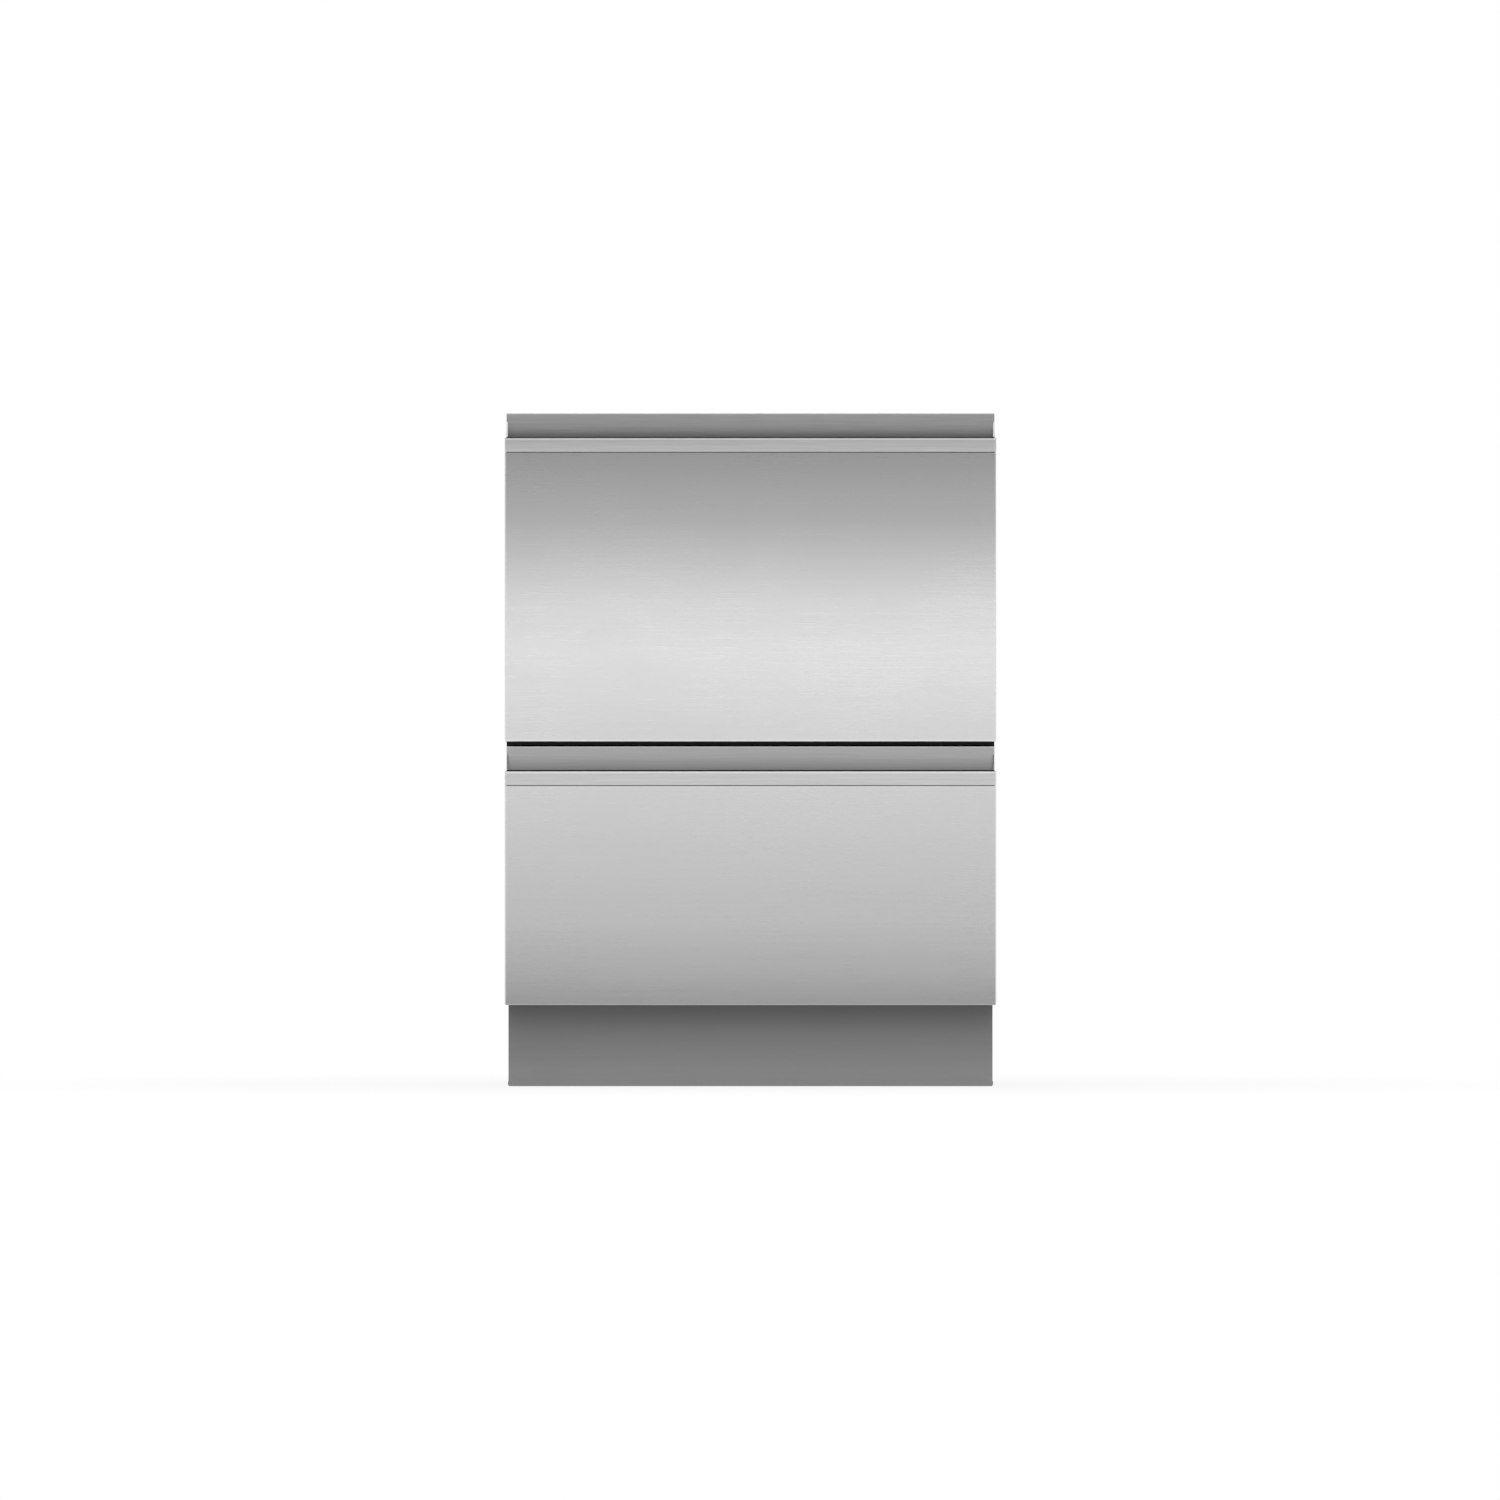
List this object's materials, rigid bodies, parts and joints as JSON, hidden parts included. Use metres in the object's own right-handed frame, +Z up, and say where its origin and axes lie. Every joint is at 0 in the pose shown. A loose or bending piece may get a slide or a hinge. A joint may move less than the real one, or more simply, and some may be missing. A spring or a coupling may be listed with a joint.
{
  "type": "dishwasher drawer",
  "caption": "Built-in drawer dishwasher: stacked stainless fronts with recessed handles, each sliding out a tub with rack, spray arm and dropping lid.",
  "frame": {"origin": "on the floor under the middle of the appliance, with the feet wound in", "axes": "+Z up, +X to the right seen from the front, the drawers open towards -Y"},
  "size_m": [0.598, 0.573, 0.82],
  "materials": {
    "front_steel": "brushed along the width",
    "handle_steel": "brushed along the width",
    "chassis_sheet": "galvanised sheet",
    "toe_kick_metal": "fine satin paint",
    "runner_steel": "bright zinc plate",
    "screw_steel": "bright zinc plate",
    "edge_rubber": "matt",
    "foot_plastic": "moulded",
    "actuator_plastic": "moulded",
    "port_plastic": "moulded",
    "tub_plastic": "smooth moulding",
    "lid_plastic": "smooth moulding",
    "seal_rubber": "soft, matt",
    "carrier_plastic": "moulded",
    "control_plastic": "piano black",
    "button_metal": "satin",
    "filter_plastic": "moulded",
    "mesh_steel": "perforated",
    "arm_plastic": "moulded",
    "impeller_plastic": "moulded",
    "motor_plastic": "moulded",
    "rack_wire": "nylon-coated wire",
    "basket_plastic": "moulded",
    "dispenser_plastic": "moulded",
    "door_plastic": "moulded",
    "link_plastic": "moulded"
  },
  "bodies": {
    "chassis": {"side_panel_left": "chassis_sheet", "side_panel_right": "chassis_sheet", "back_panel": "chassis_sheet", "top_panel": "chassis_sheet", "base_tray": "chassis_sheet", "mid_rail": "chassis_sheet", "toe_kick": "toe_kick_metal", "outer_rails": "runner_steel", "lid_actuators": "actuator_plastic", "edge_seals": "edge_rubber", "chassis_screws": "screw_steel", "service_ports": "port_plastic"},
    "front_feet": {"front_feet": "foot_plastic"},
    "rear_feet": {"rear_feet": "foot_plastic"},
    "upper_drawer": {"upper_inner_rails": "runner_steel", "upper_front_panel": "front_steel", "upper_handle": "handle_steel", "upper_front_carrier": "carrier_plastic", "upper_control_panel": "control_plastic", "upper_tub": "tub_plastic", "upper_filter_plate": "filter_plastic", "upper_drain_filter": "mesh_steel", "upper_wash_motor": "motor_plastic", "upper_rack": "rack_wire", "upper_cutlery_basket": "basket_plastic", "upper_dispenser": "dispenser_plastic"},
    "upper_middle_rails": {"upper_middle_rails": "runner_steel"},
    "upper_lid": {"upper_lid": "lid_plastic", "upper_lid_seal": "seal_rubber"},
    "upper_power_button": {"upper_power_button": "button_metal"},
    "upper_start_button": {"upper_start_button": "button_metal"},
    "upper_spray_arm": {"upper_spray_arm": "arm_plastic"},
    "upper_impeller": {"upper_impeller": "impeller_plastic"},
    "upper_cup_rack": {"upper_cup_rack": "rack_wire"},
    "upper_dispenser_door": {"upper_dispenser_door": "door_plastic"},
    "upper_link_rear_arm": {"upper_link_rear_arm": "link_plastic"},
    "upper_link_front_arm": {"upper_link_front_arm": "link_plastic"},
    "lower_drawer": {"lower_inner_rails": "runner_steel", "lower_front_panel": "front_steel", "lower_handle": "handle_steel", "lower_front_carrier": "carrier_plastic", "lower_control_panel": "control_plastic", "lower_tub": "tub_plastic", "lower_filter_plate": "filter_plastic", "lower_drain_filter": "mesh_steel", "lower_wash_motor": "motor_plastic", "lower_rack": "rack_wire", "lower_cutlery_basket": "basket_plastic", "lower_dispenser": "dispenser_plastic"},
    "lower_middle_rails": {"lower_middle_rails": "runner_steel"},
    "lower_lid": {"lower_lid": "lid_plastic", "lower_lid_seal": "seal_rubber"},
    "lower_power_button": {"lower_power_button": "button_metal"},
    "lower_start_button": {"lower_start_button": "button_metal"},
    "lower_spray_arm": {"lower_spray_arm": "arm_plastic"},
    "lower_impeller": {"lower_impeller": "impeller_plastic"},
    "lower_cup_rack": {"lower_cup_rack": "rack_wire"},
    "lower_dispenser_door": {"lower_dispenser_door": "door_plastic"},
    "lower_link_rear_arm": {"lower_link_rear_arm": "link_plastic"},
    "lower_link_front_arm": {"lower_link_front_arm": "link_plastic"}
  },
  "joints": [
    {"name": "front_feet_height", "type": "slide", "parent": "chassis", "child": "front_feet", "axis": [0, 0, -1], "range_m": [0, 0.06]},
    {"name": "rear_feet_height", "type": "slide", "parent": "chassis", "child": "rear_feet", "axis": [0, 0, -1], "range_m": [0, 0.06]},
    {"name": "upper_drawer_slide", "type": "slide", "parent": "chassis", "child": "upper_drawer", "axis": [0, -1, 0], "range_m": [0, 0.5]},
    {"name": "upper_middle_rails_slide", "type": "slide", "parent": "chassis", "child": "upper_middle_rails", "axis": [0, -1, 0], "range_m": [0, 0.25]},
    {"name": "upper_lid_drop", "type": "slide", "parent": "chassis", "child": "upper_lid", "axis": [0, 0, -1], "range_m": [0, 0.008]},
    {"name": "upper_power_press", "type": "slide", "parent": "upper_drawer", "child": "upper_power_button", "axis": [0, 0, -1], "range_m": [0, 0.0012], "stiffness_N_per_m": 400, "springref_m": -0.0005},
    {"name": "upper_start_press", "type": "slide", "parent": "upper_drawer", "child": "upper_start_button", "axis": [0, 0, -1], "range_m": [0, 0.0012], "stiffness_N_per_m": 400, "springref_m": -0.0005},
    {"name": "upper_spray_arm_spin", "type": "hinge", "parent": "upper_drawer", "child": "upper_spray_arm", "pos_m": [0, 0.001, 0.5163], "axis": [0, 0, 1], "continuous": true},
    {"name": "upper_impeller_spin", "type": "hinge", "parent": "upper_drawer", "child": "upper_impeller", "pos_m": [0, 0.001, 0.481], "axis": [0, 0, 1], "continuous": true},
    {"name": "upper_cup_rack_fold", "type": "hinge", "parent": "upper_drawer", "child": "upper_cup_rack", "pos_m": [-0.23696, 0.00698, 0.678], "axis": [0, -1, 0], "range_deg": [0, 90]},
    {"name": "upper_dispenser_door_open", "type": "hinge", "parent": "upper_drawer", "child": "upper_dispenser_door", "pos_m": [-0.032, -0.215, 0.7], "axis": [-1, 0, 0], "range_deg": [0, 90]},
    {"name": "upper_link_rear_swing", "type": "hinge", "parent": "chassis", "child": "upper_link_rear_arm", "pos_m": [-0.225, 0.2561, 0.566], "axis": [0, 0, 1], "range_deg": [-34, 0]},
    {"name": "upper_link_front_swing", "type": "hinge", "parent": "upper_link_rear_arm", "child": "upper_link_front_arm", "pos_m": [0.225, 0.2561, 0.585], "axis": [0, 0, 1], "range_deg": [0, 68]},
    {"name": "lower_drawer_slide", "type": "slide", "parent": "chassis", "child": "lower_drawer", "axis": [0, -1, 0], "range_m": [0, 0.5]},
    {"name": "lower_middle_rails_slide", "type": "slide", "parent": "chassis", "child": "lower_middle_rails", "axis": [0, -1, 0], "range_m": [0, 0.25]},
    {"name": "lower_lid_drop", "type": "slide", "parent": "chassis", "child": "lower_lid", "axis": [0, 0, -1], "range_m": [0, 0.008]},
    {"name": "lower_power_press", "type": "slide", "parent": "lower_drawer", "child": "lower_power_button", "axis": [0, 0, -1], "range_m": [0, 0.0012], "stiffness_N_per_m": 400, "springref_m": -0.0005},
    {"name": "lower_start_press", "type": "slide", "parent": "lower_drawer", "child": "lower_start_button", "axis": [0, 0, -1], "range_m": [0, 0.0012], "stiffness_N_per_m": 400, "springref_m": -0.0005},
    {"name": "lower_spray_arm_spin", "type": "hinge", "parent": "lower_drawer", "child": "lower_spray_arm", "pos_m": [0, 0.001, 0.185], "axis": [0, 0, 1], "continuous": true},
    {"name": "lower_impeller_spin", "type": "hinge", "parent": "lower_drawer", "child": "lower_impeller", "pos_m": [0, 0.001, 0.1497], "axis": [0, 0, 1], "continuous": true},
    {"name": "lower_cup_rack_fold", "type": "hinge", "parent": "lower_drawer", "child": "lower_cup_rack", "pos_m": [-0.23696, 0.00698, 0.2725], "axis": [0, -1, 0], "range_deg": [0, 90]},
    {"name": "lower_dispenser_door_open", "type": "hinge", "parent": "lower_drawer", "child": "lower_dispenser_door", "pos_m": [-0.032, -0.215, 0.2945], "axis": [-1, 0, 0], "range_deg": [0, 90]},
    {"name": "lower_link_rear_swing", "type": "hinge", "parent": "chassis", "child": "lower_link_rear_arm", "pos_m": [-0.225, 0.2561, 0.2347], "axis": [0, 0, 1], "range_deg": [-34, 0]},
    {"name": "lower_link_front_swing", "type": "hinge", "parent": "lower_link_rear_arm", "child": "lower_link_front_arm", "pos_m": [0.225, 0.2561, 0.2537], "axis": [0, 0, 1], "range_deg": [0, 68]}
  ],
  "couplings": [
    {"joint": "upper_middle_rails_slide", "follows": "upper_drawer_slide", "ratio": 0.5},
    {"joint": "upper_link_rear_swing", "follows": "upper_drawer_slide", "rad_per_m": -1.1781},
    {"joint": "upper_link_front_swing", "follows": "upper_drawer_slide", "rad_per_m": 2.3561},
    {"joint": "lower_middle_rails_slide", "follows": "lower_drawer_slide", "ratio": 0.5},
    {"joint": "lower_link_rear_swing", "follows": "lower_drawer_slide", "rad_per_m": -1.1781},
    {"joint": "lower_link_front_swing", "follows": "lower_drawer_slide", "rad_per_m": 2.3561}
  ]
}
